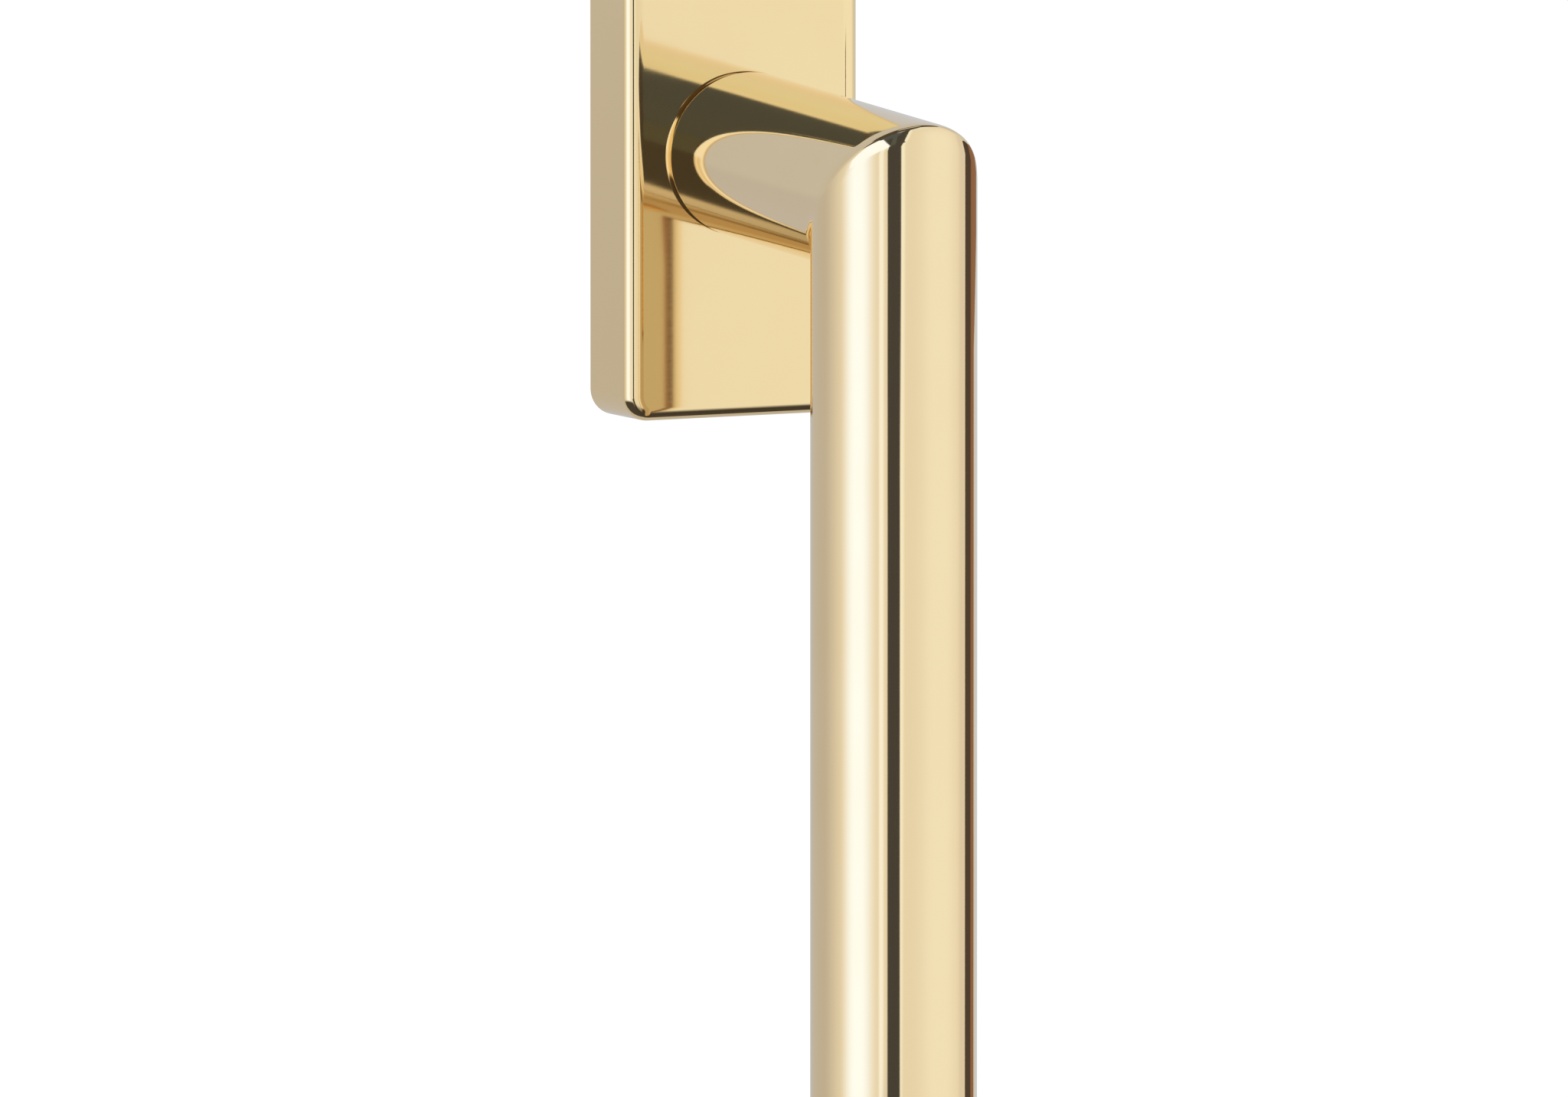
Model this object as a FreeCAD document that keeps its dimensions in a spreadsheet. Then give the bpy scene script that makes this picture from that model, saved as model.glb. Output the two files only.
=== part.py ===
import FreeCAD, Part
import math
import os

import Sketcher

# Window handle in polished brass: a rectangular rose on the sash, a round neck
# square out of it, and a round grip that hangs from a mitred corner.
# Origin: the spindle axis on the sash face. The front looks along -Y, +Y goes
# into the sash, +Z is up, and the grip hangs along -Z. Millimetres throughout.
# Distances called depth are measured forward from the sash face, so y = -depth.
# The rose's width and height are those of its back; its draft is in degrees.

doc = FreeCAD.newDocument("window_handle")
sheet = doc.addObject("Spreadsheet::Sheet", "Sizes")

SIZES = {
    # rose cover
    "rose_width": 30.4,
    "rose_height": 64.8,
    "rose_depth": 11.8,
    "rose_draft": 1.5,
    "rose_wall": 1.2,
    "rose_corner": 3.3,
    "rose_edge": 1.5,
    "rose_hole_gap": 0.1,
    # round bar of neck and grip
    "bar_radius": 10.0,
    "neck_reach": 47.9,
    "neck_gap": 0.15,
    "neck_rim": 0.8,
    "grip_drop": 125.0,
    "grip_wall": 2.0,
    "plug_cap": 3.0,
    "plug_spigot": 9.0,
    "plug_bore": 5.0,
    "plug_edge": 0.6,
    "plug_groove": 0.3,
    # base plate screwed to the sash
    "base_gap": 0.5,
    "base_end_gap": 1.0,
    "base_front_gap": 0.5,
    "base_corner": 2.0,
    "screw_pitch": 43.0,
    "lug_radius": 5.0,
    "lug_length": 9.0,
    "lug_lead_in": 0.8,
    # hub, its bearings and the spindle
    "nose_radius": 7.0,
    "nose_length": 14.0,
    "nose_lead_in": 0.8,
    "running_gap": 0.05,
    "stub_radius": 6.0,
    "stub_inset": 0.2,
    "cam_half": 7.4,
    "cam_corner": 4.0,
    "cam_thickness": 3.5,
    "washer_thickness": 0.4,
    "washer_radius": 7.4,
    "wave_thickness": 0.25,
    "wave_height": 0.65,
    "bush_sleeve_radius": 8.0,
    "bush_flange_radius": 9.6,
    "bush_flange_thickness": 0.9,
    "ring_radius": 8.2,
    "ring_lip": 0.8,
    "ring_lip_thickness": 0.35,
    "ring_proud": 0.05,
    "spindle_side": 7.0,
    "spindle_gap": 0.05,
    "spindle_reach": 28.0,
    "spindle_edge": 0.3,
    "spindle_lead_in": 0.7,
    "spindle_pin_radius": 1.25,
    "spindle_pin_offset": 4.5,
    "fit_gap": 0.02,
    # click mechanism: two leaf springs beside the four-sided cam
    "leaf_thickness": 0.45,
    "leaf_half_length": 14.5,
    "leaf_gap": 0.03,
    "leaf_free_half": 12.0,
    "leaf_swing_gap": 0.4,
    # back plate and rivets
    "back_plate_thickness": 1.2,
    "back_plate_width": 22.0,
    "back_plate_height": 32.2,
    "back_plate_corner": 2.0,
    "rivet_radius": 1.0,
    "rivet_head_radius": 1.8,
    "rivet_length": 5.0,
    "rivet_across": 10.4,
    "rivet_apart": 28.0,
    # fixing screws
    "screw_core_radius": 2.2,
    "screw_thread_radius": 2.5,
    "screw_head_radius": 4.6,
    "screw_length": 40.0,
    "screw_point": 1.5,
    "screw_bore_gap": 0.4,
    "screw_drive_width": 1.1,
    "screw_drive_span": 5.0,
    "screw_drive_depth": 2.2,
    # clips that hold the cover on the base
    "clip_width": 8.0,
    "clip_thickness": 0.4,
    "clip_bite": 0.25,
    "clip_groove": 0.45,
    "clip_peak_depth": 3.5,
    "clip_slot_gap": 0.2,
    "clip_slot_depth": 1.7,
    "clip_slope": 1.0,
    "clip_fold": 0.52,
    # grub screw in the underside of the neck
    "grub_offset": 9.5,
    "grub_radius": 2.5,
    "grub_socket": 2.5,
    "grub_socket_depth": 1.6,
    "grub_recess": 0.4,
    "grub_flat": 0.7,
}


def fill_sheet():
    """Each size goes into column B with its name as the alias."""
    for row, (name, size) in enumerate(SIZES.items(), start=1):
        sheet.set(f"A{row}", name)
        sheet.set(f"B{row}", str(size))
        sheet.setAlias(f"B{row}", name)
    doc.recompute()


def bound(expression):
    """The expression with each size name pointed at the sheet."""
    words = []
    word = ""
    for letter in expression + " ":
        if letter.isalnum() or letter in "_.":
            word += letter
            continue
        words.append("Sizes." + word if word in SIZES else word)
        words.append(letter)
        word = ""
    return "".join(words).strip()


def size(expression):
    """The present value in millimetres of an expression in the sheet's names."""
    result = sheet.evalExpression(bound(expression))
    return float(getattr(result, "Value", result))


def tie(item, name, expression):
    """Bind one property to an expression in the sheet's names."""
    item.setExpression(name, bound(expression))


def new_body(label):
    body = doc.addObject("PartDesign::Body", label)
    body.Label = label
    return body


def tie_place(item, x="0", y="0", z="0"):
    """Bind the item's position."""
    tie(item, "Placement.Base.x", x)
    tie(item, "Placement.Base.y", y)
    tie(item, "Placement.Base.z", z)


def new_sketch(body, name, plane, offset="0"):
    """A sketch on one of the body's own origin planes, moved along its normal."""
    sketch = body.newObject("Sketcher::SketchObject", name)
    faces = [item for item in body.Origin.OriginFeatures if item.Role == plane]
    sketch.AttachmentSupport = [(faces[0], "")]
    sketch.MapMode = "FlatFace"
    tie(sketch, "AttachmentOffset.Base.z", offset)
    return sketch


def tie_point(sketch, line, end, across, up):
    """Fix one end of a line by its two distances from the sketch's origin."""
    for kind, expression in (("DistanceX", across), ("DistanceY", up)):
        datum = Sketcher.Constraint(kind, -1, 1, line, end, size(expression))
        number = sketch.addConstraint(datum)
        tie(sketch, f"Constraints[{number}]", expression)


def add_polygon(sketch, points):
    """A closed outline whose corners are pairs of expressions."""
    first = sketch.GeometryCount
    spots = [FreeCAD.Vector(size(across), size(up), 0) for across, up in points]
    for number, spot in enumerate(spots):
        following = spots[(number + 1) % len(spots)]
        sketch.addGeometry(Part.LineSegment(spot, following), False)
    for number, (across, up) in enumerate(points):
        line = first + number
        following = first + (number + 1) % len(points)
        sketch.addConstraint(Sketcher.Constraint("Coincident", line, 2, following, 1))
        tie_point(sketch, line, 1, across, up)


def add_rectangle(sketch, left, right, low, high):
    add_polygon(sketch, [(left, low), (right, low), (right, high), (left, high)])


def add_circle(sketch, radius, across="0", up="0"):
    centre = FreeCAD.Vector(size(across), size(up), 0)
    circle = Part.Circle(centre, FreeCAD.Vector(0, 0, 1), size(radius))
    number = sketch.addGeometry(circle, False)
    tie_point(sketch, number, 3, across, up)
    datum = sketch.addConstraint(Sketcher.Constraint("Radius", number, size(radius)))
    tie(sketch, f"Constraints[{datum}]", radius)


def pad(body, sketch, length, backward=False):
    feature = body.newObject("PartDesign::Pad", sketch.Name + "_pad")
    feature.Profile = sketch
    tie(feature, "Length", length)
    feature.Reversed = backward
    sketch.Visibility = False
    doc.recompute()
    return feature


def cut(body, sketch, length=None, forward=True, both_ways=False):
    """A pocket that goes along the sketch's normal, or right through."""
    before = body.Shape.Volume
    feature = body.newObject("PartDesign::Pocket", sketch.Name + "_cut")
    feature.Profile = sketch
    if length is None:
        feature.Type = "ThroughAll"
    else:
        tie(feature, "Length", length)
    feature.Midplane = both_ways
    feature.Reversed = forward
    doc.recompute()
    if body.Shape.Volume >= before:
        raise RuntimeError(f"{feature.Name} removed nothing")
    return feature


def turn(body, sketch):
    """A solid of revolution about the sketch's upright axis."""
    feature = body.newObject("PartDesign::Revolution", sketch.Name + "_turned")
    feature.Profile = sketch
    feature.ReferenceAxis = (sketch, ["V_Axis"])
    feature.Angle = 360
    doc.recompute()


def dress(body, kind, amount, wanted):
    """A fillet or chamfer on the tip's edges that the test picks."""
    tip = body.Tip
    names = [f"Edge{i}" for i, edge in enumerate(tip.Shape.Edges, start=1) if wanted(edge)]
    if not names:
        raise RuntimeError(f"{body.Label} has no edge for a {kind}")
    feature = body.newObject(f"PartDesign::{kind}", f"{body.Name}_{kind}".lower())
    feature.Base = (tip, names)
    tie(feature, "Radius" if kind == "Fillet" else "Size", amount)
    doc.recompute()


def near(value, wanted):
    return abs(value - wanted) < 0.001


def lies_at(edge, axis, place):
    """True when the whole edge lies in the plane where axis equals place."""
    low = getattr(edge.BoundBox, axis + "Min")
    high = getattr(edge.BoundBox, axis + "Max")
    return near(low, place) and near(high, place)


def is_circle(edge, radius):
    return hasattr(edge.Curve, "Radius") and near(edge.Curve.Radius, radius)


def runs_along_y(edge, length):
    box = edge.BoundBox
    return near(box.XLength, 0) and near(box.ZLength, 0) and near(box.YLength, length)


def spans_depth(edge, depth):
    """True for an edge from the sash face to that depth, upright or leaning."""
    return near(edge.BoundBox.YMax, 0) and near(edge.BoundBox.YMin, -depth)


def compound(label, pieces):
    group = doc.addObject("Part::Compound", label)
    group.Label = label
    group.Links = pieces
    return group


def mirrored(source, name):
    """The copy below the neck axis of a piece above it."""
    copy = doc.addObject("Part::Mirroring", name)
    copy.Label = name
    copy.Source = source
    copy.Base = FreeCAD.Vector(0, 0, 0)
    copy.Normal = FreeCAD.Vector(0, 0, 1)
    return copy


fill_sheet()

INNER_HALF_WIDTH = "rose_width / 2 - rose_wall"
INNER_HALF_HEIGHT = "rose_height / 2 - rose_wall"
BASE_HALF_WIDTH = f"({INNER_HALF_WIDTH} - base_gap)"
BASE_HALF_HEIGHT = f"({INNER_HALF_HEIGHT} - base_end_gap)"
BASE_DEPTH = "(rose_depth - rose_wall - base_front_gap)"
GRIP_DEPTH = "(rose_depth + neck_reach)"
SCREW_HEIGHT = "screw_pitch / 2"
SLEEVE_BORE = "(nose_radius + running_gap)"
CAM_BACK = "(back_plate_thickness + washer_thickness + 2 * running_gap)"
CAM_FRONT = f"({CAM_BACK} + cam_thickness)"
CAM_REACH = "(cam_half * sqrt(2) - cam_corner * (sqrt(2) - 1))"
LEAF_SIDE = "(cam_half + leaf_gap)"
BORE_END = f"({CAM_FRONT} + wave_height + 2 * running_gap)"
BUSH_SEAT = f"({BASE_DEPTH} - bush_flange_thickness - 2 * running_gap)"
NOSE_END = "(rose_depth + nose_length)"
GRUB_DEPTH = "(rose_depth + grub_offset)"
PIN_DEPTH = "(rose_depth + spindle_pin_offset)"
CLIP_FLOOR = f"({BASE_HALF_HEIGHT} - clip_slot_depth)"


def make_rose_cover():
    """Brass box that snaps over the base, open at the back; its sides lean in by the draft."""
    body = new_body("rose_cover")
    outline = new_sketch(body, "rose_outline", "XZ_Plane")
    add_rectangle(outline, "-rose_width / 2", "rose_width / 2", "-rose_height / 2", "rose_height / 2")
    block = pad(body, outline, "rose_depth")
    tie(block, "TaperAngle", "-rose_draft")
    doc.recompute()
    depth = size("rose_depth")
    dress(body, "Fillet", "rose_corner", lambda edge: spans_depth(edge, depth))
    dress(body, "Fillet", "rose_edge", lambda edge: lies_at(edge, "Y", -depth))
    cavity = new_sketch(body, "rose_cavity", "XZ_Plane")
    wide = INNER_HALF_WIDTH
    tall = INNER_HALF_HEIGHT
    add_rectangle(cavity, f"-({wide})", wide, f"-({tall})", tall)
    hollow = cut(body, cavity, "rose_depth - rose_wall")
    tie(hollow, "TaperAngle", "-rose_draft")
    doc.recompute()
    inner = size("rose_depth - rose_wall")
    dress(body, "Fillet", "rose_corner - rose_wall", lambda edge: spans_depth(edge, inner))
    dress(body, "Fillet", "rose_edge - rose_wall", lambda edge: lies_at(edge, "Y", -inner))
    hole = new_sketch(body, "rose_hole", "XZ_Plane")
    add_circle(hole, "ring_radius + rose_hole_gap")
    cut(body, hole)
    grooves = new_sketch(body, "rose_clip_grooves", "XZ_Plane", "clip_peak_depth - 2 * clip_groove")
    side = "clip_width / 2 + clip_slot_gap"
    deep = f"{tall} + clip_groove"
    add_rectangle(grooves, f"-({side})", side, f"{tall} - clip_groove", deep)
    add_rectangle(grooves, f"-({side})", side, f"-({deep})", f"-({tall} - clip_groove)")
    cut(body, grooves, "4 * clip_groove")


def make_base_plate():
    """Die-cast zinc base with two lugs and the housing of the hub and its springs."""
    body = new_body("base_plate")
    outline = new_sketch(body, "base_outline", "XZ_Plane")
    wide = BASE_HALF_WIDTH
    tall = BASE_HALF_HEIGHT
    add_rectangle(outline, f"-{wide}", wide, f"-{tall}", tall)
    pad(body, outline, BASE_DEPTH)
    depth = size(BASE_DEPTH)
    dress(body, "Fillet", "base_corner", lambda edge: runs_along_y(edge, depth))
    for name, sign in (("upper", ""), ("lower", "-")):
        lug = new_sketch(body, f"lug_{name}", "XZ_Plane")
        add_circle(lug, "lug_radius", "0", f"{sign}{SCREW_HEIGHT}")
        pad(body, lug, "lug_length", backward=True)
    tip = size("lug_length")
    dress(body, "Chamfer", "lug_lead_in", lambda edge: lies_at(edge, "Y", tip))
    recess = new_sketch(body, "back_plate_recess", "XZ_Plane")
    across = "(back_plate_width / 2 + running_gap)"
    along = "(back_plate_height / 2 + running_gap)"
    add_rectangle(recess, f"-{across}", across, f"-{along}", along)
    cut(body, recess, "back_plate_thickness")
    housing = new_sketch(body, "hub_housing", "XZ_Plane")
    half = f"({CAM_REACH} + leaf_thickness + leaf_swing_gap)"
    add_rectangle(housing, f"-{half}", half, "-leaf_free_half", "leaf_free_half")
    cut(body, housing, BORE_END)
    seats = new_sketch(body, "leaf_seats", "XZ_Plane")
    near_side = f"({LEAF_SIDE} - leaf_gap)"
    far_side = f"({LEAF_SIDE} + leaf_thickness + leaf_gap)"
    tip_end = "(leaf_half_length + leaf_gap)"
    add_rectangle(seats, near_side, far_side, f"-{tip_end}", tip_end)
    add_rectangle(seats, f"-{far_side}", f"-{near_side}", f"-{tip_end}", tip_end)
    cut(body, seats, f"{CAM_FRONT} + leaf_gap")
    sleeve = new_sketch(body, "bush_bore", "XZ_Plane")
    add_circle(sleeve, "bush_sleeve_radius + running_gap")
    cut(body, sleeve)
    seat = new_sketch(body, "bush_flange_seat", "XZ_Plane", BUSH_SEAT)
    add_circle(seat, "bush_flange_radius + 2 * running_gap")
    cut(body, seat)
    bores = new_sketch(body, "screw_bores", "XZ_Plane")
    for sign in ("", "-"):
        add_circle(bores, "screw_core_radius + screw_bore_gap", "0", f"{sign}{SCREW_HEIGHT}")
    cut(body, bores, "4 * rose_depth", both_ways=True)
    bore = size("screw_core_radius + screw_bore_gap")
    sink = "screw_head_radius - screw_core_radius - screw_bore_gap + 3 * running_gap"
    dress(body, "Chamfer", sink, lambda edge: is_circle(edge, bore) and lies_at(edge, "Y", -depth))
    rivets = new_sketch(body, "rivet_bores", "XZ_Plane")
    for left in ("", "-"):
        for low in ("", "-"):
            add_circle(rivets, "rivet_radius + fit_gap", f"{left}rivet_across / 2", f"{low}rivet_apart / 2")
    cut(body, rivets, "rivet_length + running_gap")
    slots = new_sketch(body, "clip_slots", "XZ_Plane")
    side = "(clip_width / 2 + clip_slot_gap)"
    add_rectangle(slots, f"-{side}", side, CLIP_FLOOR, f"{tall} + clip_slot_gap")
    add_rectangle(slots, f"-{side}", side, f"-({tall} + clip_slot_gap)", f"-{CLIP_FLOOR}")
    cut(body, slots)


def make_back_plate():
    """Steel plate that shuts the hub and its leaf springs into the base."""
    body = new_body("back_plate")
    outline = new_sketch(body, "plate_outline", "XZ_Plane")
    across = "back_plate_width / 2"
    along = "back_plate_height / 2"
    add_rectangle(outline, f"-{across}", across, f"-{along}", along)
    pad(body, outline, "back_plate_thickness")
    thickness = size("back_plate_thickness")
    stub = new_sketch(body, "stub_hole", "XZ_Plane")
    add_circle(stub, "stub_radius + running_gap")
    cut(body, stub)
    holes = new_sketch(body, "plate_rivet_holes", "XZ_Plane")
    for left in ("", "-"):
        for low in ("", "-"):
            add_circle(holes, "rivet_radius + fit_gap", f"{left}rivet_across / 2", f"{low}rivet_apart / 2")
    cut(body, holes)
    bore = size("rivet_radius + fit_gap")
    sink = "rivet_head_radius - rivet_radius"
    dress(body, "Chamfer", sink, lambda edge: is_circle(edge, bore) and lies_at(edge, "Y", 0))


def make_rivets():
    """Four countersunk rivets, heads flush with the back of the plate."""
    pieces = []
    for left in ("", "-"):
        for low in ("", "-"):
            place = {"x": f"{left}rivet_across / 2", "z": f"{low}rivet_apart / 2"}
            number = len(pieces) + 1
            shank = doc.addObject("Part::Cylinder", f"rivet_shank_{number}")
            head = doc.addObject("Part::Cone", f"rivet_head_{number}")
            tie(shank, "Radius", "rivet_radius")
            tie(shank, "Height", "rivet_length")
            tie(head, "Radius1", "rivet_head_radius - 2 * fit_gap")
            tie(head, "Radius2", "rivet_radius")
            tie(head, "Height", "rivet_head_radius - rivet_radius - 2 * fit_gap")
            for item in (shank, head):
                item.Placement.Rotation = FreeCAD.Rotation(FreeCAD.Vector(1, 0, 0), 90)
                tie_place(item, **place)
            rivet = doc.addObject("Part::Fuse", f"rivet_{number}")
            rivet.Base = shank
            rivet.Tool = head
            pieces.append(rivet)
    compound("back_plate_rivets", pieces)


def make_fixing_screws():
    """Two M5 countersunk screws through the lugs; the thread shows past them."""
    body = new_body("upper_fixing_screw")
    tie_place(body, z=SCREW_HEIGHT)
    profile = new_sketch(body, "screw_profile", "XY_Plane")
    tip = f"(screw_length - {BASE_DEPTH})"
    thread = "lug_length + 3 * running_gap"
    neck = f"-({BASE_DEPTH} - screw_head_radius + screw_core_radius)"
    outline = [("0", f"-{BASE_DEPTH}"), ("screw_head_radius", f"-{BASE_DEPTH}"), ("screw_core_radius", neck),
               ("screw_core_radius", thread), ("screw_thread_radius", thread),
               ("screw_thread_radius", f"{tip} - screw_point"),
               ("screw_thread_radius - screw_point", tip), ("0", tip)]
    add_polygon(profile, outline)
    turn(body, profile)
    drive = new_sketch(body, "screw_drive", "XZ_Plane", f"{BASE_DEPTH} - screw_drive_depth")
    half = "screw_drive_span / 2"
    slim = "screw_drive_width / 2"
    cross = [(slim, slim), (half, slim), (half, f"-{slim}"), (slim, f"-{slim}"), (slim, f"-{half}"),
             (f"-{slim}", f"-{half}"), (f"-{slim}", f"-{slim}"), (f"-{half}", f"-{slim}"),
             (f"-{half}", slim), (f"-{slim}", slim), (f"-{slim}", half), (slim, half)]
    add_polygon(drive, cross)
    cut(body, drive)
    compound("fixing_screws", [body, mirrored(body, "lower_fixing_screw")])


def make_cover_clips():
    """Two sprung steel strips in the base's ends; their knees catch the cover."""
    body = new_body("cover_clip_upper")
    profile = new_sketch(body, "clip_profile", "YZ_Plane")
    floor = CLIP_FLOOR
    top = f"({floor} + clip_thickness)"
    knee = f"({INNER_HALF_HEIGHT} + clip_bite)"
    peak = "clip_peak_depth"
    foot = f"({BASE_DEPTH} - clip_thickness)"
    slope = "clip_slope"
    strip = [(f"-{foot}", floor), (f"-{foot}", top), (f"-({peak} + {slope} + clip_thickness)", top),
             (f"-({peak} + clip_thickness / 2)", knee), (f"-({peak} - clip_thickness / 2)", knee),
             ("-clip_thickness", f"{top} + clip_thickness"), ("-clip_thickness", f"{top}"),
             (f"-({peak} - clip_thickness / 4)", f"{knee} - clip_fold"),
             (f"-({peak} + clip_thickness / 4)", f"{knee} - clip_fold"),
             (f"-({peak} + {slope})", floor)]
    add_polygon(profile, strip)
    feature = pad(body, profile, "clip_width")
    feature.Midplane = True
    doc.recompute()
    mirrored(body, "cover_clip_lower")


def make_nose_bush():
    """Nylon bush in the base, in which the hub's nose turns."""
    body = new_body("nose_bush")
    profile = new_sketch(body, "bush_profile", "XY_Plane")
    back = f"-({BORE_END})"
    seat = f"-({BUSH_SEAT})"
    flange = f"-({BUSH_SEAT} + bush_flange_thickness)"
    outline = [(SLEEVE_BORE, back), ("bush_sleeve_radius", back), ("bush_sleeve_radius", seat),
               ("bush_flange_radius", seat), ("bush_flange_radius", flange), (SLEEVE_BORE, flange)]
    add_polygon(profile, outline)
    turn(body, profile)


def make_slide_ring():
    """Nylon ring in the cover's hole, on which the end of the neck slides."""
    body = new_body("slide_ring")
    profile = new_sketch(body, "ring_profile", "XY_Plane")
    inside = f"{SLEEVE_BORE} + running_gap"
    shoulder = "-(rose_depth - rose_wall - running_gap)"
    back = "-(rose_depth - rose_wall - running_gap - ring_lip_thickness)"
    front = "-(rose_depth + ring_proud)"
    outline = [(inside, back), ("ring_radius + ring_lip", back), ("ring_radius + ring_lip", shoulder),
               ("ring_radius", shoulder), ("ring_radius", front), (inside, front)]
    add_polygon(profile, outline)
    turn(body, profile)


def make_thrust_washer():
    """Flat nylon washer between the hub's cam and the back plate."""
    body = new_body("thrust_washer")
    profile = new_sketch(body, "washer_profile", "XY_Plane")
    back = "-(back_plate_thickness + running_gap)"
    front = "-(back_plate_thickness + running_gap + washer_thickness)"
    inside = "stub_radius + 4 * running_gap"
    outside = "washer_radius"
    add_polygon(profile, [(inside, back), (outside, back), (outside, front), (inside, front)])
    turn(body, profile)


def make_wave_washer():
    """Spring steel washer with three waves that takes up the hub's end play."""
    inner = size("nose_radius + 4 * running_gap")
    outer = size("bush_sleeve_radius")
    thickness = size("wave_thickness")
    swing = (size("wave_height") - thickness) / 2
    middle = size(f"{BORE_END} - running_gap") - swing - thickness
    waves = 3
    steps = 72
    rims = []
    for radius in (inner, outer):
        points = []
        for step in range(steps):
            angle = 2 * math.pi * step / steps
            depth = middle + swing * math.sin(waves * angle)
            points.append(FreeCAD.Vector(radius * math.cos(angle), -depth, radius * math.sin(angle)))
        rim = Part.BSplineCurve()
        rim.interpolate(points, PeriodicFlag=True)
        rims.append(rim.toShape())
    ribbon = Part.makeRuledSurface(rims[0], rims[1])
    washer = doc.addObject("Part::Feature", "wave_washer")
    washer.Label = "wave_washer"
    washer.Shape = ribbon.extrude(FreeCAD.Vector(0, -thickness, 0))


def make_hub():
    """Steel hub: a stub, the four-sided cam and the nose that carries the neck."""
    body = new_body("hub")
    profile = new_sketch(body, "hub_profile", "XY_Plane")
    back = "-stub_inset"
    lead = f"-({NOSE_END} - nose_lead_in)"
    outline = [("0", back), ("stub_radius", back), ("stub_radius", f"-{CAM_BACK}"),
               ("nose_radius", f"-{CAM_BACK}"), ("nose_radius", lead),
               ("nose_radius - nose_lead_in", f"-{NOSE_END}"), ("0", f"-{NOSE_END}")]
    add_polygon(profile, outline)
    turn(body, profile)
    cam = new_sketch(body, "cam_outline", "XZ_Plane", CAM_BACK)
    add_rectangle(cam, "-cam_half", "cam_half", "-cam_half", "cam_half")
    pad(body, cam, "cam_thickness")
    thick = size("cam_thickness")
    half_cam = size("cam_half")
    dress(body, "Fillet", "cam_corner",
          lambda edge: runs_along_y(edge, thick) and near(abs(edge.BoundBox.XMin), half_cam))
    square = new_sketch(body, "spindle_square", "XZ_Plane")
    half = "(spindle_side / 2 + spindle_gap)"
    add_rectangle(square, f"-{half}", half, f"-{half}", half)
    cut(body, square)
    flat = new_sketch(body, "grub_flat", "XY_Plane", "-(nose_radius - grub_flat)")
    reach = "(grub_radius + grub_flat)"
    add_rectangle(flat, "-nose_radius", "nose_radius", f"-({GRUB_DEPTH} + {reach})",
                  f"-({GRUB_DEPTH} - {reach})")
    cut(body, flat, forward=False)
    hole = new_sketch(body, "spindle_pin_hole", "YZ_Plane")
    add_circle(hole, "spindle_pin_radius + fit_gap", f"-{PIN_DEPTH}", "0")
    cut(body, hole, "4 * nose_radius", both_ways=True)


def make_spindle():
    """Square steel bar: from inside the hub's nose into the window gear."""
    body = new_body("spindle")
    section = new_sketch(body, "spindle_section", "XZ_Plane", "-spindle_reach")
    half = "spindle_side / 2"
    add_rectangle(section, f"-{half}", half, f"-{half}", half)
    length = f"(spindle_reach + {NOSE_END} - nose_lead_in)"
    pad(body, section, length)
    ends = (size("spindle_reach"), -size(f"{NOSE_END} - nose_lead_in"))
    for end in ends:
        dress(body, "Chamfer", "spindle_lead_in", lambda edge: lies_at(edge, "Y", end))
    between = size(f"{length} - 2 * spindle_lead_in")
    dress(body, "Fillet", "spindle_edge", lambda edge: runs_along_y(edge, between))
    hole = new_sketch(body, "spindle_cross_hole", "YZ_Plane")
    add_circle(hole, "spindle_pin_radius + fit_gap", f"-{PIN_DEPTH}", "0")
    cut(body, hole, "4 * spindle_side", both_ways=True)


def make_spindle_pin():
    """Steel pin across the hub's nose that keeps the spindle from sliding out."""
    pin = doc.addObject("Part::Cylinder", "spindle_pin")
    pin.Label = "spindle_pin"
    tie(pin, "Radius", "spindle_pin_radius")
    tie(pin, "Height", "2 * (nose_radius - 4 * running_gap)")
    pin.Placement.Rotation = FreeCAD.Rotation(FreeCAD.Vector(0, 1, 0), 90)
    tie_place(pin, x="-(nose_radius - 4 * running_gap)", y=f"-{PIN_DEPTH}")


def make_detent_spring(side, left):
    """A flat steel leaf beside the cam, its ends held in slots of the base."""
    leaf = doc.addObject("Part::Box", f"detent_spring_{side}")
    leaf.Label = f"detent_spring_{side}"
    tie(leaf, "Length", "leaf_thickness")
    tie(leaf, "Width", "cam_thickness")
    tie(leaf, "Height", "2 * leaf_half_length")
    tie_place(leaf, x=left, y=f"-{CAM_FRONT}", z="-leaf_half_length")


def make_neck():
    """Solid brass bar, bored for the hub's nose and mitred at the front."""
    body = new_body("neck")
    start = "rose_depth + neck_gap"
    bar = new_sketch(body, "neck_section", "XZ_Plane", start)
    add_circle(bar, "bar_radius")
    pad(body, bar, f"{GRIP_DEPTH} + bar_radius - rose_depth - neck_gap")
    bore = new_sketch(body, "neck_bore", "XZ_Plane", start)
    add_circle(bore, "nose_radius + fit_gap")
    cut(body, bore, "nose_length + neck_gap")
    back = -size(start)
    radius = size("bar_radius")
    dress(body, "Fillet", "neck_rim", lambda edge: is_circle(edge, radius) and lies_at(edge, "Y", back))
    mitre = new_sketch(body, "neck_mitre", "YZ_Plane")
    reach = "(bar_radius + plug_cap)"
    add_polygon(mitre, [(f"-({GRIP_DEPTH} + {reach})", reach), (f"-({GRIP_DEPTH} + {reach})", f"-{reach}"),
                        (f"-({GRIP_DEPTH} - {reach})", f"-{reach}")])
    cut(body, mitre, "4 * bar_radius", both_ways=True)
    thread = new_sketch(body, "grub_thread", "XY_Plane")
    add_circle(thread, "grub_radius", "0", f"-{GRUB_DEPTH}")
    cut(body, thread, forward=False)


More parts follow.
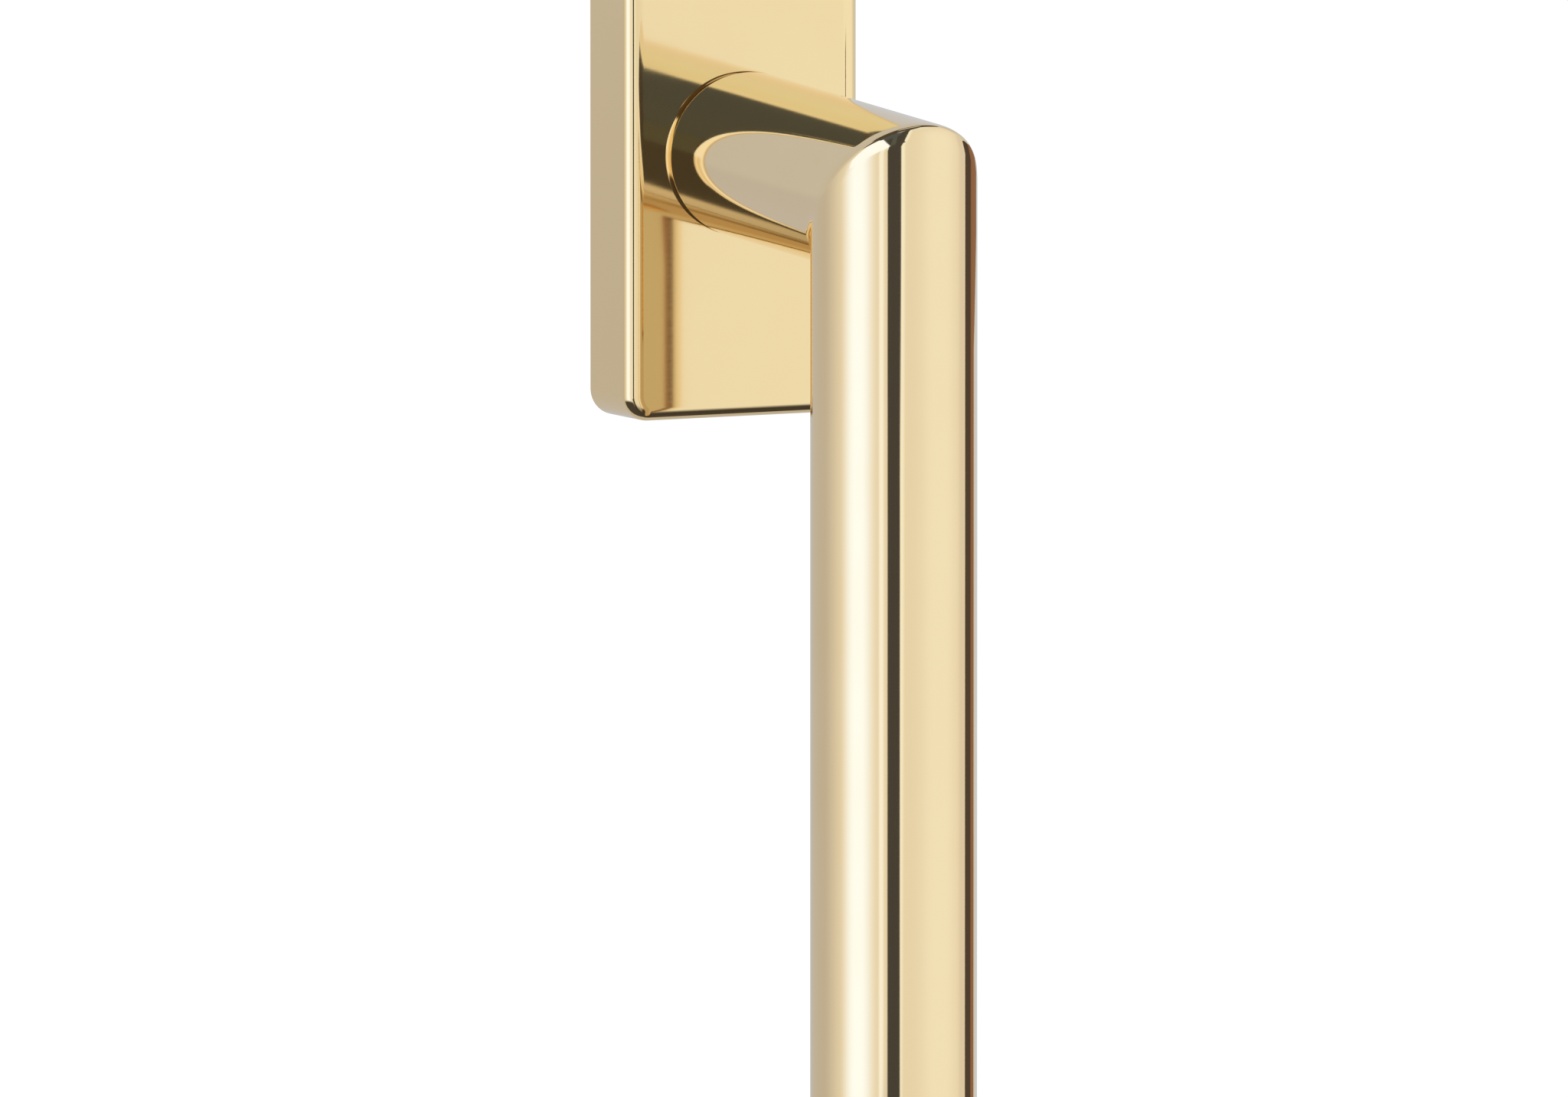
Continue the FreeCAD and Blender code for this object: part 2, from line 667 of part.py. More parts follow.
def make_grip():
    """Brass tube that hangs from the mitre, brazed to the neck."""
    body = new_body("grip")
    bar = new_sketch(body, "grip_section", "XY_Plane", "plug_cap - grip_drop")
    add_circle(bar, "bar_radius", "0", f"-{GRIP_DEPTH}")
    pad(body, bar, "grip_drop - plug_cap + bar_radius")
    bore = new_sketch(body, "grip_bore", "XY_Plane", "plug_cap - grip_drop")
    add_circle(bore, "bar_radius - grip_wall", "0", f"-{GRIP_DEPTH}")
    cut(body, bore)
    mitre = new_sketch(body, "grip_mitre", "YZ_Plane")
    reach = "(bar_radius + plug_cap)"
    add_polygon(mitre, [(f"-({GRIP_DEPTH} + {reach})", reach), (f"-({GRIP_DEPTH} - {reach})", reach),
                        (f"-({GRIP_DEPTH} - {reach})", f"-{reach}")])
    cut(body, mitre, "4 * bar_radius", both_ways=True)


def make_end_plug():
    """Turned brass plug glued into the grip, with a fine joint line above its cap."""
    body = new_body("end_plug")
    tie_place(body, y=f"-{GRIP_DEPTH}", z="-grip_drop")
    profile = new_sketch(body, "plug_profile", "XZ_Plane")
    inside = "(bar_radius - grip_wall - fit_gap)"
    top = "(plug_cap + plug_spigot)"
    outline = [("0", "0"), ("bar_radius - plug_edge", "0"), ("bar_radius", "plug_edge"),
               ("bar_radius", "plug_cap - plug_groove"),
               ("bar_radius - plug_groove", "plug_cap - plug_groove"),
               ("bar_radius - plug_groove", "plug_cap"), (inside, "plug_cap"), (inside, top),
               ("plug_bore", top), ("plug_bore", "plug_cap"), ("0", "plug_cap")]
    add_polygon(profile, outline)
    turn(body, profile)


def make_grub_screw():
    """Hexagon-socket grub screw that bites on the flat of the hub's nose."""
    body = new_body("grub_screw")
    tie_place(body, y=f"-{GRUB_DEPTH}", z="-(bar_radius - grub_recess)")
    profile = new_sketch(body, "grub_profile", "XZ_Plane")
    tall = "(bar_radius - grub_recess - nose_radius + grub_flat)"
    wide = "grub_radius - fit_gap"
    outline = [("0", "0"), (wide, "0"), (wide, f"{tall} - grub_flat"),
               (f"{wide} - grub_flat", f"{tall} - fit_gap"), ("0", f"{tall} - fit_gap")]
    add_polygon(profile, outline)
    turn(body, profile)
    socket = new_sketch(body, "grub_socket", "XY_Plane")
    corners = []
    for corner in range(6):
        angle = math.radians(60 * corner)
        factor = round(math.cos(angle) / math.sqrt(3), 6)
        other = round(math.sin(angle) / math.sqrt(3), 6)
        corners.append((f"grub_socket * {factor}", f"grub_socket * {other}"))
    add_polygon(socket, corners)
    cut(body, socket, "grub_socket_depth")


make_rose_cover()
make_base_plate()
make_back_plate()
make_rivets()
make_fixing_screws()
make_cover_clips()
make_nose_bush()
make_slide_ring()
make_thrust_washer()
make_wave_washer()
make_hub()
make_spindle()
make_spindle_pin()
make_detent_spring("right", LEAF_SIDE)
make_detent_spring("left", f"-({LEAF_SIDE} + leaf_thickness)")
make_neck()
make_grip()
make_end_plug()
make_grub_screw()

NODES = [
    "rose_cover", "base_plate", "back_plate", "back_plate_rivets", "fixing_screws", "cover_clip_upper",
    "cover_clip_lower", "nose_bush", "slide_ring", "thrust_washer", "wave_washer", "hub", "spindle",
    "spindle_pin", "detent_spring_left", "detent_spring_right", "neck", "grip", "end_plug", "grub_screw",
]

doc.recompute()
for item in doc.Objects:
    if "Invalid" in item.State or "Error" in item.State:
        raise RuntimeError(f"{item.Label} failed: {item.State}")

os.makedirs("parts", exist_ok=True)
for label in NODES:
    node = doc.getObjectsByLabel(label)[0]
    if node.Shape.isNull() or not node.Shape.isValid():
        raise RuntimeError(f"{label} has no valid shape")
    node.Shape.exportStep(f"parts/{label}.step")
    solids = len(node.Shape.Solids)
    print(f"{label}: {solids} solid(s), {node.Shape.Volume:.1f} mm3")
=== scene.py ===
import math

import bpy
import numpy as np
from mathutils import Matrix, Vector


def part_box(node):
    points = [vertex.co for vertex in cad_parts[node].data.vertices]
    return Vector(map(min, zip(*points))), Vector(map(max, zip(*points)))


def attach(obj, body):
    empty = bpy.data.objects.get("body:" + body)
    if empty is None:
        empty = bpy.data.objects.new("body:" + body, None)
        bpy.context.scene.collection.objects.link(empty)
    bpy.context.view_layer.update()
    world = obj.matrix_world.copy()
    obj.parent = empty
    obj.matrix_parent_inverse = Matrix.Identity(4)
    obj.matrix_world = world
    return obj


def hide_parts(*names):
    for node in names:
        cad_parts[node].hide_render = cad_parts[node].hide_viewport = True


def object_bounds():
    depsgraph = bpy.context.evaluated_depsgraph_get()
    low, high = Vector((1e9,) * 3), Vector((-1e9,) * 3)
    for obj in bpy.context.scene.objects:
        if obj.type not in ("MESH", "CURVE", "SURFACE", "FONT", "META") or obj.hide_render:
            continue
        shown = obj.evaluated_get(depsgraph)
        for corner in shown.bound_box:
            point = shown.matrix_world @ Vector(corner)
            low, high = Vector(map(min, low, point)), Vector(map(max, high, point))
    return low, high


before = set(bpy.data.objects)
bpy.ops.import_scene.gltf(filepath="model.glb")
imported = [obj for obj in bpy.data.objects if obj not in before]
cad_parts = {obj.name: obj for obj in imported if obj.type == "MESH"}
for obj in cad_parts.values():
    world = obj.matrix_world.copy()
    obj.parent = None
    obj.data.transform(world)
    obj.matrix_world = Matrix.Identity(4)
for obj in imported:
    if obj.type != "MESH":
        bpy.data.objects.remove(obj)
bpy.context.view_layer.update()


# Base plate
# The zinc casting that two screws hold on the sash. It is cast in a steel mould and left as cast:
# a matt grey skin, a little blotched, with a fine grit.
MM = 0.001
MIX_FROM = 6
MIX_TO = 7
MIXED = 2


def linear(code):
    """The linear colour of an sRGB hex value: a straight line up to 0.04045, then a power of 2.4."""
    shades = [int(code[place:place + 2], 16) / 255 for place in (1, 3, 5)]
    return [s / 12.92 if s <= 0.04045 else ((s + 0.055) / 1.055) ** 2.4 for s in shades] + [1.0]


def add(tree, kind, settings, inputs):
    """One shader node: its settings, then each input by name or number.

    An input is a value or another node's output. The Mix node takes its two colours at MIX_FROM
    and MIX_TO and gives the result at MIXED.
    """
    node = tree.nodes.new("ShaderNode" + kind)
    for name, value in settings.items():
        setattr(node, name, value)
    for key, value in inputs.items():
        if isinstance(value, bpy.types.NodeSocket):
            tree.links.new(value, node.inputs[key])
        else:
            node.inputs[key].default_value = value
    return node


def new_material(name):
    """An empty material and its node tree."""
    material = bpy.data.materials.new(name)
    material.use_nodes = True
    material.node_tree.nodes.clear()
    return material, material.node_tree


def per_metre(size_mm):
    """A noise scale whose features are about that many millimetres wide."""
    return 1 / (size_mm * MM)


def dress(node_names, material):
    """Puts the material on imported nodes, in place of the plain one."""
    for node_name in node_names:
        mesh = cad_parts[node_name].data
        mesh.materials.clear()
        mesh.materials.append(material)


def cast_zinc():
    """Zinc alloy as cast: dull metal, blotched by the mould's release agent over some 6 mm."""
    material, tree = new_material("zinc alloy as cast")
    place = add(tree, "TexCoord", {}, {}).outputs["Object"]
    blotch = add(tree, "TexNoise", {}, {"Vector": place, "Scale": per_metre(6), "Detail": 5.0})
    grit = add(tree, "TexNoise", {}, {"Vector": place, "Scale": per_metre(0.35), "Detail": 3.0})
    colour = add(tree, "Mix", {"data_type": "RGBA"}, {
        "Factor": blotch.outputs["Fac"], MIX_FROM: linear("#9C9D9F"), MIX_TO: linear("#BABBBC")})
    rough = add(tree, "MapRange", {}, {
        "Value": blotch.outputs["Fac"], "To Min": 0.38, "To Max": 0.58})
    bump = add(tree, "Bump", {}, {
        "Height": grit.outputs["Fac"], "Strength": 0.35, "Distance": 0.05 * MM})
    skin = add(tree, "BsdfPrincipled", {}, {
        "Base Color": colour.outputs[MIXED], "Metallic": 1.0, "Roughness": rough.outputs[0],
        "Normal": bump.outputs[0]})
    add(tree, "OutputMaterial", {}, {"Surface": skin.outputs[0]})
    return material


dress(["base_plate"], cast_zinc())


# Hub, spindle and cross pin
# A turned steel hub runs in the base. The 7 mm square spindle is bright drawn bar with chamfered ends,
# held in the hub by a hardened pin. Turning and drawing leave fine lines along the bar.
def drawn_steel():
    """Bright drawn steel: lines 0.2 mm wide and some 7 mm long, coarser than real so that they show."""
    material, tree = new_material("bright drawn steel")
    place = add(tree, "TexCoord", {}, {}).outputs["Object"]
    along = add(tree, "Mapping", {}, {"Vector": place, "Scale": (1.0, 0.03, 1.0)})
    lines = add(tree, "TexNoise", {}, {
        "Vector": along.outputs[0], "Scale": per_metre(0.2), "Detail": 4.0})
    cloud = add(tree, "TexNoise", {}, {"Vector": place, "Scale": per_metre(5), "Detail": 3.0})
    colour = add(tree, "Mix", {"data_type": "RGBA"}, {
        "Factor": cloud.outputs["Fac"], MIX_FROM: linear("#B4B4B2"), MIX_TO: linear("#CFCFCD")})
    rough = add(tree, "MapRange", {}, {
        "Value": lines.outputs["Fac"], "To Min": 0.2, "To Max": 0.4})
    bump = add(tree, "Bump", {}, {
        "Height": lines.outputs["Fac"], "Strength": 0.2, "Distance": 0.01 * MM})
    skin = add(tree, "BsdfPrincipled", {}, {
        "Base Color": colour.outputs[MIXED], "Metallic": 1.0, "Roughness": rough.outputs[0],
        "Normal": bump.outputs[0]})
    add(tree, "OutputMaterial", {}, {"Surface": skin.outputs[0]})
    return material


dress(["hub", "spindle", "spindle_pin"], drawn_steel())


# Bush, slide ring and thrust washer
# Moulded black nylon, in which the hub turns and on which the neck slides. Its skin is satin,
# with the fine spark grain of the mould.
def moulded_nylon():
    """Nylon 6 with carbon black: a spark grain of 0.15 mm in the gloss."""
    material, tree = new_material("moulded black nylon")
    place = add(tree, "TexCoord", {}, {}).outputs["Object"]
    grain = add(tree, "TexNoise", {}, {"Vector": place, "Scale": per_metre(0.15), "Detail": 2.0})
    colour = add(tree, "Mix", {"data_type": "RGBA"}, {
        "Factor": grain.outputs["Fac"], MIX_FROM: linear("#1B1B1C"), MIX_TO: linear("#2A2A2B")})
    rough = add(tree, "MapRange", {}, {
        "Value": grain.outputs["Fac"], "To Min": 0.38, "To Max": 0.55})
    bump = add(tree, "Bump", {}, {
        "Height": grain.outputs["Fac"], "Strength": 0.2, "Distance": 0.01 * MM})
    skin = add(tree, "BsdfPrincipled", {}, {
        "Base Color": colour.outputs[MIXED], "IOR": 1.53, "Roughness": rough.outputs[0],
        "Normal": bump.outputs[0]})
    add(tree, "OutputMaterial", {}, {"Surface": skin.outputs[0]})
    return material


dress(["nose_bush", "slide_ring", "thrust_washer"], moulded_nylon())


# Leaf springs, wave washer and cover clips
# Hardened and tempered strip steel, blued by the heat: grey blue with straw stains.
# The leaves lie in slots of the base, the clips sit in its ends, and the washer goes round the hub.
def tempered_strip():
    """Spring strip: a temper colour that drifts from blue grey to straw over some 9 mm."""
    material, tree = new_material("tempered spring strip")
    place = add(tree, "TexCoord", {}, {}).outputs["Object"]
    stain = add(tree, "TexNoise", {}, {"Vector": place, "Scale": per_metre(9), "Detail": 3.0})
    colour = add(tree, "Mix", {"data_type": "RGBA"}, {
        "Factor": stain.outputs["Fac"], MIX_FROM: linear("#6F7783"), MIX_TO: linear("#A2998A")})
    rough = add(tree, "MapRange", {}, {
        "Value": stain.outputs["Fac"], "To Min": 0.22, "To Max": 0.36})
    skin = add(tree, "BsdfPrincipled", {}, {
        "Base Color": colour.outputs[MIXED], "Metallic": 1.0, "Roughness": rough.outputs[0]})
    add(tree, "OutputMaterial", {}, {"Surface": skin.outputs[0]})
    return material


dress(["detent_spring_left", "detent_spring_right", "wave_washer", "cover_clip_upper",
       "cover_clip_lower"], tempered_strip())


# Back plate, rivets and fixing screws
# Pressed plate, rivets and rolled screws, all bright zinc plated: a bluish metal with a faint
# rainbow haze and small grains of plating.
def zinc_plating():
    """Bright zinc with a blue passivate: the tint drifts over 7 mm, the plating's grains are 0.3 mm."""
    material, tree = new_material("blue passivated zinc plating")
    place = add(tree, "TexCoord", {}, {}).outputs["Object"]
    tint = add(tree, "TexNoise", {}, {"Vector": place, "Scale": per_metre(7), "Detail": 2.0})
    grains = add(tree, "TexNoise", {}, {"Vector": place, "Scale": per_metre(0.3), "Detail": 2.0})
    colour = add(tree, "Mix", {"data_type": "RGBA"}, {
        "Factor": tint.outputs["Fac"], MIX_FROM: linear("#BFC6D1"), MIX_TO: linear("#D3D0C8")})
    rough = add(tree, "MapRange", {}, {
        "Value": grains.outputs["Fac"], "To Min": 0.18, "To Max": 0.36})
    bump = add(tree, "Bump", {}, {
        "Height": grains.outputs["Fac"], "Strength": 0.15, "Distance": 0.01 * MM})
    skin = add(tree, "BsdfPrincipled", {}, {
        "Base Color": colour.outputs[MIXED], "Metallic": 1.0, "Roughness": rough.outputs[0],
        "Normal": bump.outputs[0]})
    add(tree, "OutputMaterial", {}, {"Surface": skin.outputs[0]})
    return material


dress(["back_plate", "back_plate_rivets", "fixing_screws"], zinc_plating())


# Grub screw
# An M5 socket set screw in the underside of the neck, which bites on the flat of the hub's nose.
# It is hardened and blacked in hot salts.
def black_oxide():
    """Blacked steel: near black metal whose oil dries in patches of about 2 mm."""
    material, tree = new_material("black oxide on steel")
    place = add(tree, "TexCoord", {}, {}).outputs["Object"]
    oil = add(tree, "TexNoise", {}, {"Vector": place, "Scale": per_metre(2), "Detail": 4.0})
    colour = add(tree, "Mix", {"data_type": "RGBA"}, {
        "Factor": oil.outputs["Fac"], MIX_FROM: linear("#2B2B2E"), MIX_TO: linear("#45454A")})
    rough = add(tree, "MapRange", {}, {
        "Value": oil.outputs["Fac"], "To Min": 0.3, "To Max": 0.5})
    skin = add(tree, "BsdfPrincipled", {}, {
        "Base Color": colour.outputs[MIXED], "Metallic": 1.0, "Roughness": rough.outputs[0]})
    add(tree, "OutputMaterial", {}, {"Surface": skin.outputs[0]})
    return material


dress(["grub_screw"], black_oxide())


# Rose cover
# The hot pressed brass box that snaps over the base and hides the screws. Its sides lean in a little
# so that it leaves the die. It is buffed on a cloth wheel to a mirror, which softens each edge.
ROSE_CORNER = 3.3 * MM
ROSE_WALL = 1.2 * MM
ROSE_DRAFT = math.radians(0.7)
ROSE_PLAY = 0.3 * MM
END_SHARE = 0.75
END_LEAN = math.tan(math.radians(1.8))
EDGE_ARCS = [(32, 1.2 * MM), (33.3, 1.6 * MM), (9, 0.9 * MM), (10.8, 4.6 * MM), (4.2, 5 * MM)]
ROSE_INNER_EDGE = 0.3 * MM
ROSE_BACK_EDGE = 0.2 * MM
HOLE_RADIUS = 8.3 * MM
HOLE_EDGE = 0.15 * MM
WELD = 0.0001 * MM


def rounded_profile(corners, steps=10):
    """A line through the corners (across, along, radius), each rounded, as points and normals.

    Outside is on the right of the way it runs. At a round corner the points are
    centre + radius * (cos, sin) while the angle goes from one side's normal to the next one's.
    A corner of radius 0 gives its point twice, once with each side's normal.
    """
    spots = np.array([corner[:2] for corner in corners], float)
    ahead = np.diff(spots, axis=0)
    ahead = ahead / np.linalg.norm(ahead, axis=1)[:, None]
    sides = np.stack([ahead[:, 1], -ahead[:, 0]], -1)
    radii = [corner[2] for corner in corners]
    points = [spots[:1]]
    normals = [sides[:1]]
    for spot, radius, before, after in zip(spots[1:], radii[1:], ahead, ahead[1:]):
        bend = math.atan2(before[0] * after[1] - before[1] * after[0], before @ after)
        reach = radius * math.tan(abs(bend) / 2)
        start = math.atan2(-before[0], before[1])
        angle = start + np.linspace(0, bend, 2 if radius == 0 else steps + 1)
        facing = np.stack([np.cos(angle), np.sin(angle)], -1)
        signed = math.copysign(radius, bend)
        centre = spot - reach * before - signed * facing[0]
        points.append(centre + signed * facing)
        normals.append(facing)
    return np.concatenate(points + [spots[-1:]]), np.concatenate(normals + [sides[-1:]])


def edge_corners(arcs, draft, depth):
    """The corners of an edge whose arcs (turn in degrees, radius) run on into each other.

    They go from the side to the front. Each corner is radius * tan(turn / 2) away from both ends
    of its arc, and the last one lies on the front.
    """
    reach = [radius * math.tan(math.radians(turn) / 2) for turn, radius in arcs]
    heading = draft + np.cumsum(np.radians([turn for turn, radius in arcs]))
    spots = [np.zeros(2)]
    for near, far, way in zip(reach, reach[1:], heading):
        spots.append(spots[-1] + (near + far) * np.array([-math.sin(way), math.cos(way)]))
    start = depth - spots[-1][1]
    shift = np.array([-math.tan(draft) * start, start])
    return [(*(spot + shift), radius) for spot, (turn, radius) in zip(spots, arcs)]


def brass(name, grain_along, colours=("#F4DAAB", "#F6DEB1"), haze=0.0):
    """Brass buffed to a mirror: waves of 14 mm left by the wheel, and hairlines the way it was buffed.

    The hairlines are drawn 0.25 mm wide, coarser than real so that they show. The colour drifts
    over some 11 mm.
    """
    material, tree = new_material(name)
    place = add(tree, "TexCoord", {}, {}).outputs["Object"]
    stretch = add(tree, "Mapping", {}, {"Vector": place, "Scale": grain_along})
    hairs = add(tree, "TexNoise", {}, {
        "Vector": stretch.outputs[0], "Scale": per_metre(0.25), "Detail": 3.0})
    cloud = add(tree, "TexNoise", {}, {"Vector": place, "Scale": per_metre(11), "Detail": 2.0})
    colour = add(tree, "Mix", {"data_type": "RGBA"}, {
        "Factor": cloud.outputs["Fac"], MIX_FROM: linear(colours[0]), MIX_TO: linear(colours[1])})
    rough = add(tree, "MapRange", {}, {
        "Value": hairs.outputs["Fac"], "To Min": 0.03 + haze, "To Max": 0.06 + haze})
    wave = add(tree, "TexNoise", {}, {"Vector": place, "Scale": per_metre(14), "Detail": 0.0})
    bump = add(tree, "Bump", {}, {
        "Height": wave.outputs["Fac"], "Strength": 1.0, "Distance": 0.012 * MM})
    skin = add(tree, "BsdfPrincipled", {}, {
        "Base Color": colour.outputs[MIXED], "Metallic": 1.0, "Roughness": rough.outputs[0],
        "Normal": bump.outputs[0]})
    add(tree, "OutputMaterial", {}, {"Surface": skin.outputs[0]})
    return material


def join_sheets(name, sheets, material):
    """One closed mesh from sheets, each a grid of points and a grid of the normals there.

    Points within a tenth of a micron become one vertex. A cell with a side of no length becomes
    a triangle, and one with two such sides is dropped. A cell that faces against its normals is
    turned over.
    """
    points = np.concatenate([spots.reshape(-1, 3) for spots, facing in sheets])
    normals = np.concatenate([facing.reshape(-1, 3) for spots, facing in sheets])
    cells = []
    start = 0
    for spots, facing in sheets:
        rows, columns = spots.shape[:2]
        index = start + np.arange(rows * columns).reshape(rows, columns)
        corners = [index[:-1, :-1], index[1:, :-1], index[1:, 1:], index[:-1, 1:]]
        cells.append(np.stack(corners, -1).reshape(-1, 4))
        start += rows * columns
    cells = np.concatenate(cells)
    keys = np.round(points / WELD).astype(np.int64)
    first, welded = np.unique(keys, axis=0, return_index=True, return_inverse=True)[1:]
    welded = welded.reshape(-1)
    one_way = points[cells[:, 2]] - points[cells[:, 0]]
    other_way = points[cells[:, 3]] - points[cells[:, 1]]
    turned = (np.cross(one_way, other_way) * normals[cells].sum(1)).sum(1) < 0
    cells[turned] = cells[turned, ::-1]
    joined = welded[cells]
    shrunk = joined == np.roll(joined, -1, axis=1)
    whole = cells[shrunk.sum(1) == 0]
    narrow = shrunk.sum(1) == 1
    slivers = np.concatenate([
        np.delete(cells[narrow & shrunk[:, side]], side, axis=1) for side in range(4)])
    mesh = bpy.data.meshes.new(name)
    mesh.from_pydata(points[first], [], welded[whole].tolist() + welded[slivers].tolist())
    mesh.polygons.foreach_set("use_smooth", np.ones(len(mesh.polygons), bool))
    corners = np.concatenate([whole.reshape(-1), slivers.reshape(-1)])
    mesh.normals_split_custom_set(normals[corners])
    mesh.materials.append(material)
    piece = bpy.data.objects.new(name, mesh)
    bpy.context.scene.collection.objects.link(piece)
    return piece


def rose_outline(corner_points=14, side_points=(12, 34)):
    """Once round the rose: corners that are centre + radius * (cos, sin), and straight sides.

    A side's points stand at even angles seen from the middle, so along it they are
    distance * tan(angle). side_points counts them on a short side and on a long one, with
    both ends.
    """
    middle_x = ROSE_HALF_WIDTH - ROSE_CORNER
    middle_z = ROSE_HALF_HEIGHT - ROSE_CORNER
    straights = [(middle_x, ROSE_HALF_HEIGHT), (middle_z, ROSE_HALF_WIDTH)]
    points = []
    normals = []
    for corner, (side_x, side_z) in enumerate([(1, 1), (-1, 1), (-1, -1), (1, -1)]):
        angle = math.radians(90) * (corner + np.linspace(0, 1, corner_points))
        way = np.stack([np.cos(angle), np.sin(angle)], -1)
        arc = np.array([side_x * middle_x, side_z * middle_z]) + ROSE_CORNER * way
        half, distance = straights[corner % 2]
        widest = math.atan2(half, distance)
        seen = np.linspace(widest, -widest, side_points[corner % 2])[1:-1]
        ahead = np.array([-way[-1, 1], way[-1, 0]])
        points += [arc, arc[-1] + (half - distance * np.tan(seen))[:, None] * ahead]
        normals += [way, np.tile(way[-1], (len(seen), 1))]
    return np.concatenate(points + [points[0][:1]]), np.concatenate(normals + [normals[0][:1]])


def swept_wall(profile):
    """The profile (outward, depth) carried round the rose, at outline + outward * its normal.

    The short ends are inset less than the sides and lean in more: there z is
    (outline z + END_SHARE * outward * normal z) * (1 - END_LEAN * depth / half height).
    The normal is the cross product of the slopes round the rose and along the profile. The cover
    sits a little to the left of the middle, as far as its clips let it.
    """
    ring, turn = rose_outline()
    level = np.ones(len(ring))
    points = []
    normals = []
    for (outward, depth), (aside, forward) in zip(*profile):
        squeeze = 1 - END_LEAN * depth / ROSE_HALF_HEIGHT
        tall = ring[:, 1] + END_SHARE * outward * turn[:, 1]
        x = ring[:, 0] + outward * turn[:, 0] - ROSE_PLAY
        points.append(np.stack([x, -depth * level, tall * squeeze], -1))
        rise = -END_SHARE * forward * turn[:, 1] * squeeze
        rise = rise - aside * END_LEAN / ROSE_HALF_HEIGHT * tall
        along = np.stack([-forward * turn[:, 0], -aside * level, rise], -1)
        side_radius = ROSE_CORNER + outward
        end_radius = (ROSE_CORNER + END_SHARE * outward) * squeeze
        about = np.stack([-turn[:, 1] * side_radius, 0 * level, turn[:, 0] * end_radius], -1)
        facing = np.cross(about, along)
        normals.append(facing / np.linalg.norm(facing, axis=1)[:, None])
    return np.array(points), np.array(normals)


def turned_wall(profile, ways):
    """The profile (radius, depth) turned about the Y axis: radius * way, at y = -depth."""
    spots, facing = profile
    forward = np.array([0, -1, 0])
    points = spots[:, :1, None] * ways + spots[:, 1:, None] * forward
    return points, facing[:, :1, None] * ways + facing[:, 1:, None] * forward


def flat_between(outer, inner, facing):
    """The flat sheet between two rings of as many points, all of it facing one way."""
    points = np.array([outer, inner])
    return points, np.broadcast_to(np.array(facing, float), points.shape)


low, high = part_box("rose_cover")
ROSE_HALF_WIDTH = high.x
ROSE_HALF_HEIGHT = high.z
ROSE_DEPTH = -low.y

inside = ROSE_DEPTH - ROSE_WALL
middle = -ROSE_CORNER
wall_middle = (-ROSE_WALL / 2, 0, 0)
front_edge = edge_corners(EDGE_ARCS, ROSE_DRAFT, ROSE_DEPTH)
spots, facing = rounded_profile([
    wall_middle, (0, 0, ROSE_BACK_EDGE), *front_edge, (middle, ROSE_DEPTH, 0)], steps=12)
outer_wall = swept_wall((spots[:-1], facing[:-1]))
inner_front = -ROSE_WALL - math.tan(ROSE_DRAFT) * inside
spots, facing = rounded_profile([
    (middle, inside, 0), (inner_front, inside, ROSE_INNER_EDGE), (-ROSE_WALL, 0, 0), wall_middle])
inner_wall = swept_wall((spots[1:], facing[1:]))
around = np.arctan2(outer_wall[0][0, :, 2], outer_wall[0][0, :, 0])
ways = np.stack([np.cos(around), 0 * around, np.sin(around)], -1)
beside_hole = HOLE_RADIUS + 2 * HOLE_EDGE
spots, facing = rounded_profile([
    (beside_hole, ROSE_DEPTH, 0), (HOLE_RADIUS, ROSE_DEPTH, HOLE_EDGE),
    (HOLE_RADIUS, inside, HOLE_EDGE), (beside_hole, inside, 0)])
hole_wall = turned_wall((spots[1:-1], facing[1:-1]), ways)
front_face = flat_between(outer_wall[0][-1], hole_wall[0][0], (0, -1, 0))
inside_face = flat_between(hole_wall[0][-1], inner_wall[0][0], (0, 1, 0))
rose_brass = brass(
    "brass buffed to a mirror, rose", (0.06, 1.0, 1.0), ("#F4D8A3", "#F6DCA9"), haze=0.02)
rose = join_sheets(
    "brass_rose_cover", [outer_wall, front_face, hole_wall, inside_face, inner_wall], rose_brass)
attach(rose, "base")
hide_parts("rose_cover")


# Neck
# A solid round brass bar, bored for the hub's nose, rounded at the back and sawn to a mitre in front.
# A tapped hole for the grub screw comes in from below. The mitre is brazed, then blended by hand:
# almost sharp on the outside of the bend and a little rounder on the inside.
NECK_RIM = 0.8 * MM
BORE_RADIUS = 7.02 * MM
BORE_END = 27.6 * MM
BORE_EDGE = 0.2 * MM
BLEND_OUTSIDE = 0.4 * MM
BLEND_INSIDE = 1.3 * MM
BLEND_GROWTH = 0.7
BUFFED_RADIUS = 9 * MM
BUFFED_TURN = math.radians(10)
GRUB_HOLE = 2.5 * MM
GRUB_HOLE_EDGE = 0.15 * MM
GRUB_HOLE_RINGS = 6
SIDES = 384
DRILLED_SIDES = 60
DRILLED_HALF_LENGTH = 4.2 * MM
MITRE_FACING = math.sqrt(0.5)

low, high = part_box("grub_screw")
GRUB_DEPTH = -(low.y + high.y) / 2
low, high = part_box("neck")
BAR_RADIUS = high.x
NECK_BACK = -high.y
GRIP_DEPTH = -low.y - BAR_RADIUS
turns = np.linspace(0, 2 * math.pi, SIDES + 1)
bar_ways = np.stack([np.sin(turns), 0 * turns, np.cos(turns)], -1)


